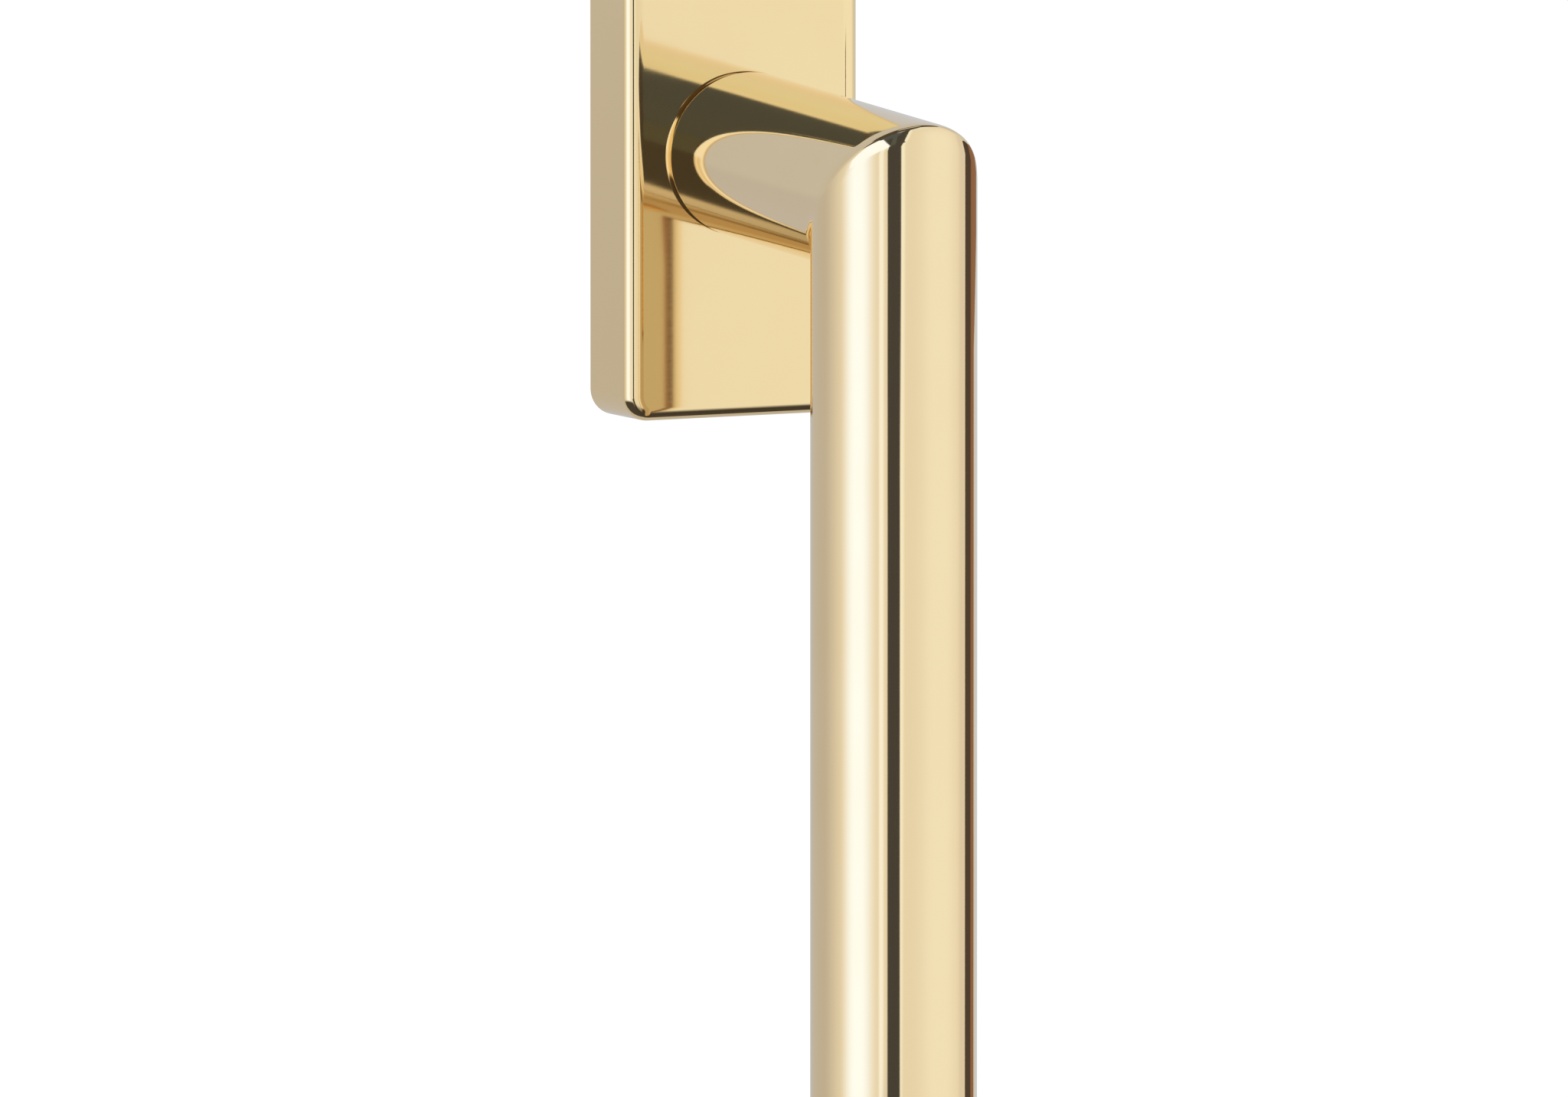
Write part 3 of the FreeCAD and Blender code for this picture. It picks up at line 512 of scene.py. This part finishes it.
def mitre_bend(turn, bend):
    """A point on the bend from the neck's round wall into the grip's.

    Each line along the bar stays in its own plane x = radius * sin(turn), at the height
    h = radius * cos(turn). There it goes forward at z = h, round the bend, and down at
    depth = grip depth + h. The bend is three arcs: the middle one has the blend's radius, and the
    ones through the first and last BUFFED_TURN have a larger one, where buffing has worn the
    metal off. The blend grows from the outside of the bend to the inside with
    s = (1 - cos(turn)) / 2 to the power of BLEND_GROWTH, and the worn arcs shrink with 1 - s.
    """
    height = BAR_RADIUS * np.cos(turn)
    inward = (1 - np.cos(turn)) / 2
    blend = BLEND_OUTSIDE + (BLEND_INSIDE - BLEND_OUTSIDE) * inward ** BLEND_GROWTH
    worn = blend + BUFFED_RADIUS * (1 - inward)
    low = np.minimum(bend, BUFFED_TURN)
    middle = np.clip(bend, BUFFED_TURN, math.pi / 2 - BUFFED_TURN)
    high = np.maximum(bend, math.pi / 2 - BUFFED_TURN)
    sine = math.sin(BUFFED_TURN)
    cosine = math.cos(BUFFED_TURN)
    forward = worn * (np.sin(low) + np.sin(high) - cosine) + blend * (np.sin(middle) - sine)
    fall = worn * (1 - np.cos(low) + sine - np.cos(high)) + blend * (cosine - np.cos(middle))
    whole = worn * (1 + sine - cosine) + blend * (cosine - sine)
    depth = GRIP_DEPTH + height - whole + forward
    return np.stack([BAR_RADIUS * np.sin(turn), -depth, height - fall], -1)


def bend_wall(first, last, steps=30):
    """The bend between two angles, with normals that are the cross product of its slopes."""
    bend, turn = np.meshgrid(np.linspace(first, last, steps + 1), turns, indexing="ij")
    step = 0.0001
    along = mitre_bend(turn, bend + step) - mitre_bend(turn, bend - step)
    round_bar = mitre_bend(turn + step, bend) - mitre_bend(turn - step, bend)
    normals = np.cross(along, round_bar)
    return mitre_bend(turn, bend), normals / np.linalg.norm(normals, axis=-1)[..., None]


def bar_wall(radius, depths, first=0, last=SIDES, outward=1):
    """A stretch of round wall about the neck's axis, between two of its lines."""
    ways = bar_ways[first:last + 1]
    points = radius * ways - np.array(depths)[:, None, None] * np.array([0, 1, 0])
    return points, np.broadcast_to(outward * ways, points.shape)


def drilled_wall(radius, hole, outward=1):
    """The stretch of round wall that the grub screw's hole goes through, as three sheets.

    Two are the wall beside the hole. The third fills the square round it, below the axis: its
    points go from the square's edge to the circle, each at z = -sqrt(radius ** 2 - x ** 2).
    """
    first = (SIDES - DRILLED_SIDES) // 2
    last = first + DRILLED_SIDES
    depths = GRUB_DEPTH + DRILLED_HALF_LENGTH * np.linspace(-1, 1, DRILLED_SIDES + 1)
    x = radius * np.sin(turns[first:last + 1])
    even = np.ones(DRILLED_SIDES)
    edge_x = np.concatenate([x, x[-1] * even, x[::-1][1:], x[0] * even])
    edge_depth = np.concatenate([
        depths[-1:], depths[-1] * even, depths[::-1][1:], depths[0] * even, depths[1:]])
    angle = math.radians(45) + np.linspace(0, 2 * math.pi, len(edge_x))
    share = np.linspace(0, 1, GRUB_HOLE_RINGS)[:, None]
    x = edge_x + share * (hole * np.cos(angle) - edge_x)
    depth = edge_depth + share * (GRUB_DEPTH + hole * np.sin(angle) - edge_depth)
    z = -np.sqrt(radius ** 2 - x ** 2)
    collar = np.stack([x, -depth, z], -1), outward / radius * np.stack([x, 0 * x, z], -1)
    left = bar_wall(radius, depths, 0, first, outward)
    right = bar_wall(radius, depths, last, SIDES, outward)
    return [left, right, collar]


def grub_hole_wall(outer_ring, inner_ring):
    """The wall of the hole: a rounded edge, then straight up to the bore."""
    points, normals = outer_ring
    aside = points[:, :2] - np.array([0, -GRUB_DEPTH])
    aside = np.concatenate([-aside, 0 * aside[:, :1]], -1) / np.linalg.norm(aside, axis=1)[:, None]
    edge = np.linspace(0, math.pi / 2, GRUB_HOLE_RINGS)[:, None, None]
    up = np.array([0, 0, GRUB_HOLE_EDGE])
    rounded = points + GRUB_HOLE_EDGE * np.sin(edge) * aside + (1 - np.cos(edge)) * up
    facing = np.cos(edge) * normals + np.sin(edge) * aside
    straight = np.array([rounded[-1], inner_ring])
    return [(rounded, facing), (straight, np.array([aside, aside]))]


drilled_back = GRUB_DEPTH - DRILLED_HALF_LENGTH
drilled_front = GRUB_DEPTH + DRILLED_HALF_LENGTH
bend = bend_wall(0, math.pi / 4)
middle = np.broadcast_to(np.array([0, -GRIP_DEPTH, 0]), bend[0][-1].shape)
mitre_face = flat_between(middle, bend[0][-1], (0, -MITRE_FACING, -MITRE_FACING))
front_ring = bar_wall(BAR_RADIUS, [drilled_front])[0][0]
front_wall = np.array([bend[0][0], front_ring]), np.array([bar_ways, bar_ways])
outer_drilled = drilled_wall(BAR_RADIUS, GRUB_HOLE + GRUB_HOLE_EDGE)
inner_drilled = drilled_wall(BORE_RADIUS, GRUB_HOLE, -1)
outer_collar, outer_facing = outer_drilled[2]
hole_sheets = grub_hole_wall((outer_collar[-1], outer_facing[-1]), inner_drilled[2][0][-1])
bore_floor = turned_wall(rounded_profile([
    (0, BORE_END, 0), (BORE_RADIUS, BORE_END, 0), (BORE_RADIUS, drilled_front, 0)]), bar_ways)
back_rim = turned_wall(rounded_profile([
    (BORE_RADIUS, drilled_back, 0), (BORE_RADIUS, NECK_BACK, BORE_EDGE),
    (BAR_RADIUS, NECK_BACK, NECK_RIM), (BAR_RADIUS, drilled_back, 0)]), bar_ways)
neck_sheets = [
    mitre_face, bend, front_wall, *outer_drilled, *hole_sheets, *inner_drilled, bore_floor, back_rim]
neck_brass = brass("brass buffed to a mirror, neck", (1.0, 0.06, 1.0))
neck = join_sheets("brass_neck", neck_sheets, neck_brass)
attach(neck, "handle")
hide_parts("neck")


# Grip
# A drawn brass tube with a 2 mm wall, sawn to the same mitre, brazed to the neck and buffed lengthwise
# with it. Its lower end is cut square for the plug.
GRIP_WALL = 2.0 * MM
TUBE_EDGE = 0.08 * MM

low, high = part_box("grip")
GRIP_END = low.z
TUBE_BORE = BAR_RADIUS - GRIP_WALL
grip_middle = np.array([0, -GRIP_DEPTH, 0])
tube_ways = bar_ways[:, [0, 2, 1]] * np.array([1, -1, 1])


def tube_wall(profile):
    """The profile (radius, height) turned about the grip's axis."""
    spots, facing = profile
    up = np.array([0, 0, 1])
    points = grip_middle + spots[:, :1, None] * tube_ways + spots[:, 1:, None] * up
    return points, facing[:, :1, None] * tube_ways + facing[:, 1:, None] * up


bend = bend_wall(math.pi / 4, math.pi / 2)
lower_end = tube_wall(rounded_profile([
    (TUBE_BORE, GRIP_END + GRIP_WALL, 0), (TUBE_BORE, GRIP_END, TUBE_EDGE),
    (BAR_RADIUS, GRIP_END, TUBE_EDGE), (BAR_RADIUS, GRIP_END + GRIP_WALL, 0)]))
long_wall = np.array([lower_end[0][-1], bend[0][-1]]), np.array([tube_ways, tube_ways])
bore_rim = grip_middle + TUBE_BORE * (bar_ways + bar_ways[:, 2:] * np.array([0, -1, 0]))
bore_wall = np.array([bore_rim, lower_end[0][0]]), np.array([-tube_ways, -tube_ways])
mitre_face = flat_between(bend[0][0], bore_rim, (0, MITRE_FACING, MITRE_FACING))
grip_brass = brass("brass buffed to a mirror, grip", (1.0, 1.0, 0.06))
grip = join_sheets("brass_grip", [bend, long_wall, lower_end, bore_wall, mitre_face], grip_brass)
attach(grip, "handle")
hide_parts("grip")


# End plug
# A turned brass cap with a hollow spigot, glued into the tube. A fine groove above the cap hides
# the joint, and its lower edge is rounded over.
PLUG_EDGE = 0.6 * MM
PLUG_GROOVE = 0.3 * MM
SPIGOT_GAP = 0.02 * MM
SPIGOT_BORE = 5.0 * MM

low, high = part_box("end_plug")
spigot = TUBE_BORE - SPIGOT_GAP
groove = BAR_RADIUS - PLUG_GROOVE
cap_top = GRIP_END - PLUG_GROOVE
plug = tube_wall(rounded_profile([
    (0, low.z, 0), (BAR_RADIUS, low.z, PLUG_EDGE), (BAR_RADIUS, cap_top, TUBE_EDGE),
    (groove, cap_top, 0), (groove, GRIP_END, 0), (spigot, GRIP_END, 0),
    (spigot, high.z, TUBE_EDGE), (SPIGOT_BORE, high.z, TUBE_EDGE), (SPIGOT_BORE, GRIP_END, 0),
    (0, GRIP_END, 0)]))
plug_brass = brass("brass buffed to a mirror, plug", (1.0, 1.0, 0.3))
end_plug = join_sheets("brass_end_plug", [plug], plug_brass)
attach(end_plug, "handle")
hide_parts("end_plug")


# Camera
# It looks from the left of the front and a little from above, through a very long lens. Its place
# puts the corner of the bar's axes at the pixel where the picture shows it.
CAMERA_AZIMUTH = math.radians(-21.77)
CAMERA_ELEVATION = math.radians(7.3)
CAMERA_DISTANCE = 6000 * MM
CAMERA_REACH = 100.0
PICTURE_WIDTH = 2048
PICTURE_HEIGHT = 1433
PIXELS_PER_MM = 10.925
CORNER_PIXEL = (1167.5, 258.9)
SENSOR_WIDTH = 36.0

right = np.array([math.cos(CAMERA_AZIMUTH), math.sin(CAMERA_AZIMUTH), 0])
level_back = np.array([math.sin(CAMERA_AZIMUTH), -math.cos(CAMERA_AZIMUTH), 0])
back = level_back * math.cos(CAMERA_ELEVATION) + np.array([0, 0, math.sin(CAMERA_ELEVATION)])
upward = np.cross(back, right)
aside = (CORNER_PIXEL[0] - PICTURE_WIDTH / 2) / PIXELS_PER_MM * MM
above = (PICTURE_HEIGHT / 2 - CORNER_PIXEL[1]) / PIXELS_PER_MM * MM
aim = grip_middle - aside * right - above * upward
lens = bpy.data.cameras.new("camera")
lens.sensor_width = SENSOR_WIDTH
lens.lens = SENSOR_WIDTH * CAMERA_DISTANCE * PIXELS_PER_MM / (PICTURE_WIDTH * MM)
lens.clip_end = CAMERA_REACH
camera = bpy.data.objects.new("camera", lens)
turned = Matrix([list(right), list(upward), list(back)]).transposed().to_4x4()
camera.matrix_world = Matrix.Translation(aim + CAMERA_DISTANCE * back) @ turned
bpy.context.scene.collection.objects.link(camera)
bpy.context.scene.camera = camera


# Studio floor and sky
# A pale floor below the grip, out to where the picture ends, under an even white sky. To the camera
# the floor glows by as much as the light on it falls short of white, so only the shadow shows.
FLOOR_DROP = 30 * MM
FLOOR_REACH = 12.0
FLOOR_LIGHT = 0.9
PAPER = (0.8, 0.8, 0.8, 1.0)
SHADOW_SHARE = 0.35
SKY_LEVEL = 0.8
WHITE = (1.0, 1.0, 1.0, 1.0)
WHITE_LEVEL = 1.05

low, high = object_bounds()
floor_level = low.z - FLOOR_DROP
floor_mesh = bpy.data.meshes.new("studio_floor")
floor_corners = [
    (FLOOR_REACH * x, FLOOR_REACH * y, floor_level) for x, y in [(-1, -1), (1, -1), (1, 1), (-1, 1)]]
floor_mesh.from_pydata(floor_corners, [], [(0, 1, 2, 3)])
floor = bpy.data.objects.new("studio_floor", floor_mesh)
floor.visible_glossy = False
bpy.context.scene.collection.objects.link(floor)
material, tree = new_material("pale studio floor")
path = add(tree, "LightPath", {}, {})
paper = add(tree, "BsdfDiffuse", {}, {"Color": PAPER})
shaded = add(tree, "BsdfDiffuse", {}, {"Color": (SHADOW_SHARE, SHADOW_SHARE, SHADOW_SHARE, 1.0)})
glow = add(tree, "Emission", {}, {
    "Color": WHITE, "Strength": WHITE_LEVEL - SHADOW_SHARE * FLOOR_LIGHT})
seen = add(tree, "AddShader", {}, {0: shaded.outputs[0], 1: glow.outputs[0]})
choice = add(tree, "MixShader", {}, {
    0: path.outputs["Is Camera Ray"], 1: paper.outputs[0], 2: seen.outputs[0]})
add(tree, "OutputMaterial", {}, {"Surface": choice.outputs[0]})
floor_mesh.materials.append(material)

world = bpy.data.worlds.new("studio sky")
bpy.context.scene.world = world
world.use_nodes = True
world.node_tree.nodes.clear()
tree = world.node_tree
path = add(tree, "LightPath", {}, {})
seen = add(tree, "Math", {"operation": "MAXIMUM"}, {
    0: path.outputs["Is Camera Ray"], 1: path.outputs["Is Glossy Ray"]})
seen = add(tree, "Math", {"operation": "MAXIMUM"}, {
    0: seen.outputs[0], 1: path.outputs["Is Transmission Ray"]})
level = add(tree, "MapRange", {}, {
    "Value": seen.outputs[0], "To Min": SKY_LEVEL, "To Max": WHITE_LEVEL})
sky = add(tree, "Background", {}, {"Color": WHITE, "Strength": level.outputs[0]})
add(tree, "OutputWorld", {}, {"Surface": sky.outputs[0]})


# Studio surround
# What the brass mirrors: soft panels, grey walls and dark gaps at arm's length round the handle,
# and one dark post close to the right of the grip. Only mirror rays see them, so they put no light
# on the floor and hide nothing. Azimuths go from the front, at 0 degrees, round to the left.
SURROUND_RADIUS = 0.9
STEPS_PER_DEGREE = 2
ALL_ROUND = (-200, 200)
WALL_LIGHT = (0.57, 0.58, 0.62)
TENT_LIGHT = (0.88, 0.90, 0.92)
WINDOW_LIGHT = (1.1, 1.36, 1.95)
GAP_LIGHT = (0.07, 0.07, 0.075)
CEILING_LIGHT = (0.09, 0.075, 0.055)
POST_DARK = (0.085, 0.065, 0.06)
# Seen from above, the post runs from POST_BACK to POST_FRONT, and a place on it is a share of that
# way. A level is a height and the place of the back end there. A tone is a place and its light.
POST_BACK = np.array([35.4, -47.4]) * MM
POST_FRONT = np.array([47.7, -64.0]) * MM
POST_LEVELS = [(-150 * MM, 0), (-22 * MM, 0), (-8 * MM, -0.4), (8 * MM, -0.4)]
POST_TONES = [(0, (0.30, 0.17, 0.11)), (0.33, (0.28, 0.16, 0.10)), (0.42, POST_DARK), (1, POST_DARK)]


def panel(azimuths, soft, heights, fade, light, lean=0.0):
    """A soft-edged panel: where it is in degrees, the widths of its edges, its light and its lean.

    soft is the width of the upright edges and fade that of the level ones. lean is how many
    degrees of azimuth it moves to the left for each degree that it rises.
    """
    return {
        "azimuths": azimuths, "soft": soft, "heights": heights, "fade": fade, "light": light,
        "lean": lean}


def cover(place, ends, width):
    """1 between the ends and 0 outside, with a smooth step t * t * (3 - 2 * t) across each end."""
    step = np.clip(np.minimum(place - ends[0], ends[1] - place) / width + 0.5, 0, 1)
    return step * step * (3 - 2 * step)


PANELS = [
    # grey walls: the upper part of the room, and the wall behind the handle on the right
    panel(ALL_ROUND, 1, (-5, 100), 6, (0.61, 0.63, 0.67)),
    panel((-152, -96), 8, (-40, 20), 10, (0.65, 0.715, 0.81)),
    # the white tent round the front, with its brighter and duller cloths
    panel((-89, 108), 50, (-29, 70), 16, TENT_LIGHT),
    panel((-89, 20), 4, (-29, 70), 16, TENT_LIGHT),
    panel((-66, -18), 34, (-27, 8), 16, (0.97, 1.03, 1.08)),
    panel((-95, -77), 10, (-29, 70), 16, (0.78, 0.79, 0.82)),
    panel((-30, 8), 10, (14, 60), 12, (0.87, 1.01, 1.10)),
    # daylight from the left, a strip of it on each side of the dark gap, and a grey cloth below
    panel((52, 86), 25, (-24, 40), 10, WINDOW_LIGHT),
    panel((33.5, 39.5), 4, (-20, 40), 10, (1.04, 1.17, 1.42)),
    panel((28, 86), 4, (-2, 40), 2, WINDOW_LIGHT),
    panel((4, 12), 5, (-16, 40), 10, (1.02, 1.12, 1.25), -0.4),
    panel((-8, 14), 8, (-60, -22), 8, (0.47, 0.49, 0.50)),
    # the dark gap in which the camera stands, made of strips that lean both ways
    panel((8.5, 25.2), 1.5, (-8, 9), 1, (0.07, 0.07, 0.08), -0.4),
    panel((8.5, 28), 1.5, (-2, 10), 2, GAP_LIGHT, 1.33),
    panel((8.5, 26.8), 1.5, (-2, 13), 2, (0.10, 0.12, 0.13)),
    panel((10.5, 32), 1.5, (8, 60), 2, (0.085, 0.112, 0.165), -0.62),
    panel((12.5, 28.5), 1.5, (-40, -1), 2, GAP_LIGHT),
    panel((21.9, 45), 1.5, (-40, -15), 2, GAP_LIGHT, 0.625),
    # the dark floor of the room
    panel((-95, 118), 16, (-91, -30), 16, (0.06, 0.055, 0.055)),
    panel((30, 118), 16, (-91, -24), 8, (0.07, 0.065, 0.065)),
    # the upper part of the gap, its lower part mended, and the dark ceiling
    panel((-4, 30), 2, (8, 36), 3, (0.09, 0.115, 0.165), 1.1),
    panel((8.5, 20), 1.5, (-2, 9), 1, GAP_LIGHT),
    panel((10.5, 22), 1.5, (8, 16), 1, GAP_LIGHT, -0.62),
    panel((-2, 108), 6, (31, 74), 3, CEILING_LIGHT),
    panel(ALL_ROUND, 1, (46, 74), 4, CEILING_LIGHT),
]

azimuth = np.radians(np.linspace(-180, 180, 360 * STEPS_PER_DEGREE + 1))
height = np.radians(np.linspace(-90, 90, 180 * STEPS_PER_DEGREE + 1))
height_grid, azimuth_grid = np.meshgrid(height, azimuth, indexing="ij")
level_reach = np.cos(height_grid)
points = SURROUND_RADIUS * np.stack([
    -np.sin(azimuth_grid) * level_reach, -np.cos(azimuth_grid) * level_reach,
    np.sin(height_grid)], -1)
light = np.broadcast_to(WALL_LIGHT, points.shape).copy()
for piece in PANELS:
    leaning = np.degrees(azimuth_grid) - piece["lean"] * np.degrees(height_grid)
    share = cover(leaning, piece["azimuths"], piece["soft"])
    share = share * cover(np.degrees(height_grid), piece["heights"], piece["fade"])
    light += share[..., None] * (np.array(piece["light"]) - light)
panel_glow, tree = new_material("soft studio panels")
tone = add(tree, "Attribute", {"attribute_name": "panel light"}, {})
glow = add(tree, "Emission", {}, {"Color": tone.outputs["Color"]})
add(tree, "OutputMaterial", {}, {"Surface": glow.outputs[0]})
panel_glow.cycles.emission_sampling = "NONE"


def mirrored_only(name, points, light):
    """A sheet through a grid of points, glowing with the light given at each. Only mirrors show it."""
    rows, columns = points.shape[:2]
    index = np.arange(rows * columns).reshape(rows, columns)
    corners = [index[:-1, :-1], index[:-1, 1:], index[1:, 1:], index[1:, :-1]]
    mesh = bpy.data.meshes.new(name)
    mesh.from_pydata(points.reshape(-1, 3), [], np.stack(corners, -1).reshape(-1, 4).tolist())
    shade = mesh.attributes.new("panel light", "FLOAT_COLOR", "POINT")
    shade.data.foreach_set("color", np.insert(light, 3, 1, axis=-1).astype(np.float32).ravel())
    mesh.materials.append(panel_glow)
    sheet = bpy.data.objects.new(name, mesh)
    bpy.context.scene.collection.objects.link(sheet)
    sheet.visible_camera = False
    sheet.visible_diffuse = False
    sheet.visible_shadow = False


mirrored_only("studio_surround", points, light)
post_rows = []
for level, back_end in POST_LEVELS:
    share = np.array([[place or back_end] for place, tone in POST_TONES])
    plan = POST_BACK + share * (POST_FRONT - POST_BACK)
    post_rows.append(np.insert(plan, 2, level, axis=1))
post_light = [[tone for place, tone in POST_TONES]] * len(POST_LEVELS)
mirrored_only("dark_post", np.array(post_rows), np.array(post_light))


# Key lamp
# One large soft lamp above the left of the camera gives the floor its shadow.
# Mirrors don't show it.
LAMP_PLACE = (-0.9, -1.2, 1.4)
LAMP_SIZE = 0.9
LAMP_POWER = 9.0

lamp_data = bpy.data.lights.new("key_lamp", "AREA")
lamp_data.shape = "DISK"
lamp_data.size = LAMP_SIZE
lamp_data.energy = LAMP_POWER
lamp = bpy.data.objects.new("key_lamp", lamp_data)
lamp.location = LAMP_PLACE
lamp.rotation_euler = (-lamp.location).to_track_quat("-Z", "Y").to_euler()
lamp.visible_glossy = False
bpy.context.scene.collection.objects.link(lamp)


# View settings
bpy.context.scene.view_settings.view_transform = "Standard"
